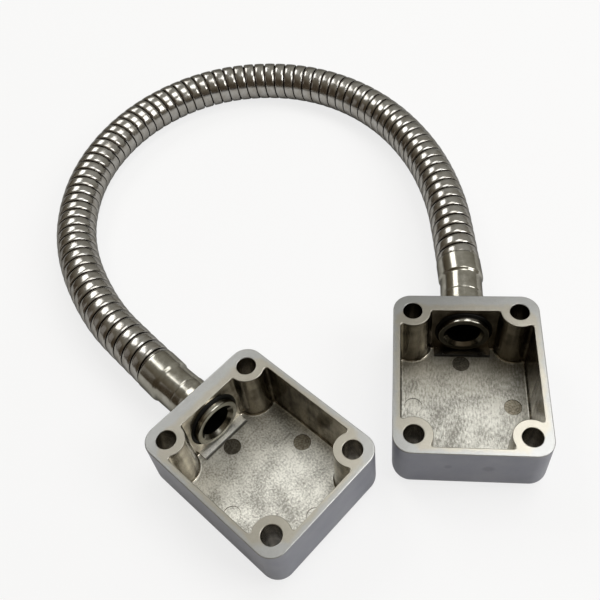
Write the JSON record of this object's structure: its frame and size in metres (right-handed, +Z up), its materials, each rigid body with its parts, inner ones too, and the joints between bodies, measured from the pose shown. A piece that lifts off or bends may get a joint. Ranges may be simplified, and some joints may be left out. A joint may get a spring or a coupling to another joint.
{
  "type": "armoured cable loop",
  "caption": "Flexible stainless steel hose bent in a loop, with an open die-cast junction box at each end for leading cables across a hinge.",
  "frame": {"origin": "middle of the rectangle of four screw holes of box B, on the plane of its back, which is also the surface that the part lies on", "axes": "+Z up from the boxes' backs to their open rims; +Y out of box B's inlet into the hose; +X to box B's right, away from box A, looking along +Y"},
  "size_m": [0.155, 0.1963, 0.019],
  "materials": {
    "hose_steel": "bright stainless steel strip, wound in turns",
    "fitting_steel": "polished, nickel plated",
    "casting": "satin silver-grey paint outside, bare polished metal inside",
    "washer_rubber": "matt black"
  },
  "bodies": {
    "root": {"hose": "hose_steel", "ferrule_a": "fitting_steel", "ferrule_b": "fitting_steel", "box_a": "casting", "box_b": "casting", "washer_a": "washer_rubber", "washer_b": "washer_rubber"}
  },
  "joints": []
}
